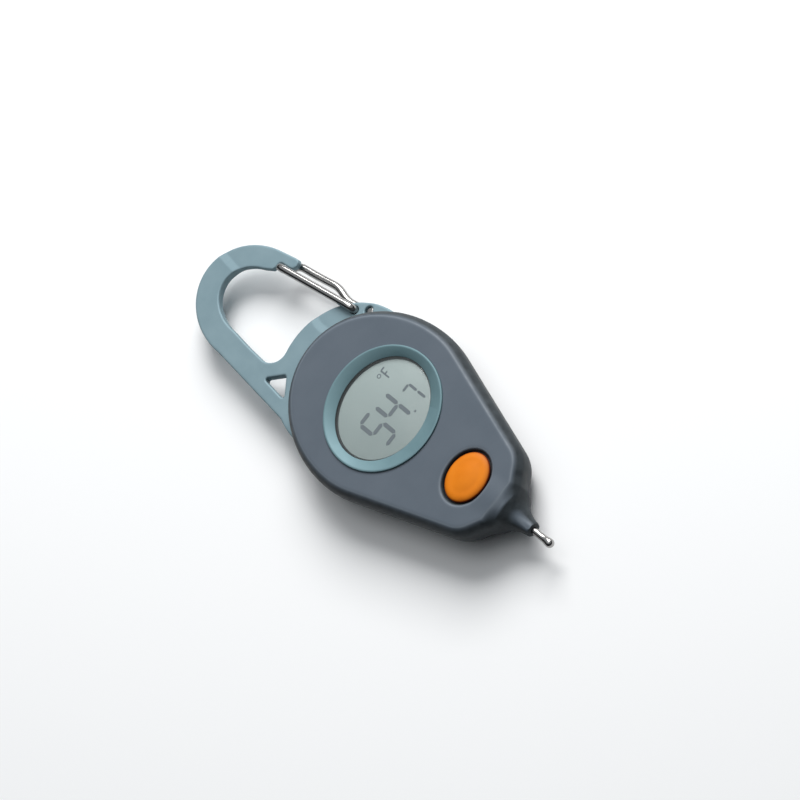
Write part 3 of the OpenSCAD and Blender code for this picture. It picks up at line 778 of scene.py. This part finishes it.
def build_gate_end():
    """The polished wire end that shows in the second hole."""
    end_r = WIRE_R - 0.12
    centre = [PIVOT_B[0] + 0.12, PIVOT_B[1] - 0.1, MID_Z]
    shape = [(end_r, -0.85), (end_r, 0.42), (end_r - 0.04, 0.5), (end_r - 0.15, 0.54)]
    rings = [oval_ring(r, r, 0, z, 40) + centre for r, z in shape]
    end = loft("gate_end", rings)
    sharp_edges(end, 50)
    finish_piece(end, "case", "polished_wire")


# ---------------------------------------------------------------- window
def build_bezel():
    """The ring from its round wall to the oval inside: a flat rim and a funnel down to the lens."""
    top, low = BEZEL_HIGH[2], BEZEL_LOW[2]
    rim = 0.6
    lens_top = LENS_HIGH[2]
    outer = [(BEZEL_R, low), (BEZEL_R, top - 0.22), (BEZEL_R - 0.07, top - 0.07), (BEZEL_R - 0.22, top),
             (BEZEL_R - rim + 0.12, top), (BEZEL_R - rim, top - 0.05)]
    lip = 0.9
    gap = 0.05
    inner = [(0.1 - lip, lens_top + 0.12), (-lip, lens_top + 0.02), (-lip, lens_top + 0.005),
             (gap, lens_top + 0.005), (gap, low)]
    rings = [oval_ring(r, r, WINDOW_Y, z, 224) for r, z in outer]
    rings += [oval_ring(LENS_W + d, LENS_H + d, LENS_Y, z, 224) for d, z in inner]
    bezel = loft("bezel", rings, closed=True)
    sharp_edges(bezel, 30)
    finish_piece(bezel, "case", "anodised_aluminium", "bezel_ring")
    bezel.data.materials[0] = BEZEL_MATERIAL


def build_lens():
    low, top, edge = LENS_LOW[2], LENS_HIGH[2], 0.12
    shape = [(0, low), (0, top - edge), (edge * 0.3, top - edge * 0.3), (edge, top)]
    rings = [oval_ring(LENS_W - d, LENS_H - d, LENS_Y, z) for d, z in shape]
    lens = loft("lens", rings)
    sharp_edges(lens, 30)
    finish_piece(lens, "case", "clear_lens", "display_lens")


DISPLAY_W = LENS_W - 1.4
DISPLAY_H = LENS_H - 1.4
DISPLAY_STEP_Z = 9.7
SEGMENT_ENDS = {"a": ((0, 2), (1, 2)), "b": ((1, 2), (1, 1)), "c": ((1, 1), (1, 0)), "d": ((0, 0), (1, 0)),
                "e": ((0, 1), (0, 0)), "f": ((0, 2), (0, 1)), "g": ((0, 1), (1, 1))}
DIGITS = {"5": "afgcd", "4": "fgbc", "7": "abc"}


def segment(a, b, width, gap):
    """A bar with pointed ends between two points, in millimetres."""
    a, b = np.array(a, float), np.array(b, float)
    along = (b - a) / np.linalg.norm(b - a)
    side = np.array([-along[1], along[0]]) * width / 2
    a, b = a + along * gap, b - along * gap
    cap = along * width / 2
    return [a, a + cap + side, b - cap + side, b, b - cap - side, a + cap - side]


def digit_bars(digit, origin, width, height, bar):
    """The lit bars of one seven-segment digit whose lower left end is at origin."""
    bars = []
    for name in DIGITS[digit]:
        ends = [(origin[0] + u * width, origin[1] + v * height / 2) for u, v in SEGMENT_ENDS[name]]
        bars.append(segment(*ends, bar, bar * 0.14))
    return bars


def build_panel():
    """The display panel, whose raised oval fills the window up to the lens."""
    low, high = low_mm("lcd_glass"), high_mm("lcd_glass")
    top, edge = high[2], 0.08
    panel = block("display_panel", low, (high[0], high[1], DISPLAY_STEP_Z))
    shape = [(0, DISPLAY_STEP_Z - 0.3), (0, top - edge), (edge * 0.3, top - edge * 0.3), (edge, top)]
    rings = [oval_ring(DISPLAY_W - d, DISPLAY_H - d, LENS_Y, z) for d, z in shape]
    carve(panel, loft("oval", rings), "UNION")
    sharp_edges(panel, 30)
    finish_piece(panel, "case", "display_panel", "lcd_glass")


def unit_mark():
    """The bars of the letter beside the degree ring."""
    stem_x, low_y, top_y = 6.7, 4.5, 7.9
    bar = 0.42
    arm_y = top_y - 0.2
    ends = [((stem_x, low_y), (stem_x, top_y)), ((stem_x, arm_y), (8.0, arm_y)), ((stem_x, 6.2), (7.7, 6.2))]
    return [segment(a, b, bar, 0) for a, b in ends]


def build_segments():
    """The dark segments on the panel: two large digits, a point, a small digit and the unit."""
    bars = digit_bars("5", (-6.6, -7.0), 3.9, 9.8, 1.1)
    bars += digit_bars("4", (-0.9, -7.1), 4.0, 9.6, 1.1)
    bars += digit_bars("7", (6.0, -7.5), 2.5, 6.4, 0.7)
    bars.append([(4.1, -7.8), (4.7, -7.8), (4.7, -7.2), (4.1, -7.2)])
    points, faces = [], []
    for bar in bars + unit_mark():
        faces.append(tuple(range(len(points), len(points) + len(bar))))
        points += list(bar)
    sides = 24
    first = len(points)
    for r in (0.62, 0.36):
        points += [(5.4 + r * math.cos(a), 7.2 + r * math.sin(a))
                   for a in np.linspace(0, 2 * math.pi, sides, endpoint=False)]
    for i in range(sides):
        j = (i + 1) % sides
        faces.append((first + i, first + j, first + sides + j, first + sides + i))
    z = high_mm("lcd_glass")[2] + 0.015
    points = [(x * MM, (y + LENS_Y) * MM, z * MM) for x, y in points]
    digits = mesh_object("display_segments", points, faces, smooth=False)
    solid = digits.modifiers.new("thick", "SOLIDIFY")
    solid.thickness = 0.02 * MM
    apply_modifiers(digits)
    tidy_normals(digits)
    finish_piece(digits, "case", "display_panel")
    digits.data.materials[0] = DIGIT_MATERIAL


# ---------------------------------------------------------------- button
def build_button():
    """The cap: a flange and a neck below the skin, and a dome with a rolled edge."""
    top, low = CAP_HIGH[2], CAP_LOW[2]
    flange_top = low + 0.65
    shoulder = top - 1.15
    neck = 0.6
    roll_w, roll_rise = 2.3, 0.8
    rings = [oval_ring(BUTTON_W + FLANGE, BUTTON_H + FLANGE, BUTTON_Y, z) for z in (low, flange_top)]
    rings += [oval_ring(BUTTON_W - neck, BUTTON_H - neck, BUTTON_Y, z) for z in (flange_top, shoulder)]
    rings.append(oval_ring(BUTTON_W, BUTTON_H, BUTTON_Y, shoulder))
    for a in np.linspace(0.05, 1, 9) * math.pi / 2:
        inward = roll_w * (1 - math.cos(a))
        z = shoulder + roll_rise * math.sin(a)
        rings.append(oval_ring(BUTTON_W - inward, BUTTON_H - inward, BUTTON_Y, z))
    for s in (0.85, 0.7, 0.55, 0.4, 0.25, 0.1):
        w, h = (BUTTON_W - roll_w) * s, (BUTTON_H - roll_w) * s
        rings.append(oval_ring(w, h, BUTTON_Y, top - (top - shoulder - roll_rise) * s * s))
    cap = loft("button", rings)
    sharp_edges(cap, 50)
    finish_piece(cap, "button", "orange_button", "button_cap")


# ---------------------------------------------------------------- probe
def build_probe():
    """A thin tube with a round tip that swells out over a short taper."""
    tip_y, root_y = low_mm("probe_sheath")[1], high_mm("probe_sheath")[1]
    tip_r, tube_r, taper = 1.15, 0.9, 2.4
    ball_y = tip_y + tip_r
    profile = [(0.02, tip_y)]
    for a in np.linspace(0.15, 1, 12) * math.pi / 2:
        profile.append((tip_r * math.sin(a), ball_y - tip_r * math.cos(a)))
    for t in np.linspace(0.1, 1, 10):
        ease = t * t * (3 - 2 * t)
        profile.append((tip_r + (tube_r - tip_r) * ease, ball_y + taper * t))
    profile.append((tube_r, root_y))
    probe = lathe("probe_tube", profile, (0, MID_Z))
    sharp_edges(probe, 60)
    finish_piece(probe, "case", "polished_steel", "probe_sheath")


# ---------------------------------------------------------------- stage
CAMERA_AZIMUTH = math.radians(3.4)
CAMERA_ELEVATION = math.radians(54.85)
CAMERA_ROLL = math.radians(55.0)
CAMERA_DISTANCE = 3.0
CAMERA_LENS = 558.4
AIM_RIGHT = 1.90 * MM
AIM_UP = 3.21 * MM


def view_axes():
    """The camera's right, up and backward directions."""
    a, e = CAMERA_AZIMUTH, CAMERA_ELEVATION
    back = Vector((math.sin(a) * math.cos(e), -math.cos(a) * math.cos(e), math.sin(e)))
    level = Vector((math.cos(a), math.sin(a), 0))
    upright = back.cross(level)
    c, s = math.cos(CAMERA_ROLL), math.sin(CAMERA_ROLL)
    return c * level - s * upright, s * level + c * upright, back


def build_camera():
    right, up, back = view_axes()
    camera = bpy.data.objects.new("camera", bpy.data.cameras.new("camera"))
    camera.data.lens = CAMERA_LENS
    camera.data.clip_end = 20
    location = AIM_RIGHT * right + AIM_UP * up + CAMERA_DISTANCE * back
    turn = Matrix((right, up, back)).transposed()
    camera.matrix_world = Matrix.Translation(location) @ turn.to_4x4()
    bpy.context.scene.collection.objects.link(camera)
    bpy.context.scene.camera = camera


def build_light(name, direction, distance, size, power):
    """A soft square light in a direction from the object, turned to it."""
    towards = Vector(direction).normalized()
    light = bpy.data.objects.new(name, bpy.data.lights.new(name, "AREA"))
    light.data.size = size
    light.data.energy = power
    light.location = towards * distance
    light.rotation_mode = "QUATERNION"
    light.rotation_quaternion = towards.to_track_quat("Z", "Y")
    bpy.context.scene.collection.objects.link(light)


def build_stage():
    reach = 8
    corners = [(-reach, -reach, 0), (reach, -reach, 0), (reach, reach, 0), (-reach, reach, 0)]
    floor = mesh_object("floor", corners, [(0, 1, 2, 3)], smooth=False)
    floor.data.materials.append(floor_material())
    build_world()
    build_light("key", (0.70, 0.45, 0.75), 0.9, 0.55, 10.5)
    build_light("fill", (0.1, 0.1, 1.0), 1.2, 0.6, 1.5)


def build_world():
    """A soft studio: bright overhead and on the key light's side, dark lower down."""
    world = bpy.data.worlds.new("studio")
    world.use_nodes = True
    tree = world.node_tree
    lean = tree.nodes.new("ShaderNodeVectorMath")
    lean.operation = "DOT_PRODUCT"
    lean.inputs[1].default_value = (0.32, 0.20, 0.93)
    tree.links.new(tree.nodes.new("ShaderNodeTexCoord").outputs["Generated"], lean.inputs[0])
    sky = ramp(tree, lean.outputs["Value"],
               [(0.0, (0.02, 0.022, 0.025)), (0.45, (0.05, 0.055, 0.06)), (0.75, (0.88, 0.93, 0.97))])
    tree.links.new(sky, tree.nodes["Background"].inputs["Color"])
    tree.nodes["Background"].inputs["Strength"].default_value = 0.55
    bpy.context.scene.world = world


bpy.context.scene.view_settings.view_transform = "Standard"
build_camera()
build_stage()
dress_cad_nodes()
build_grips()
build_plate()
build_gate()
build_gate_end()
build_bezel()
build_lens()
build_panel()
build_segments()
build_button()
build_probe()
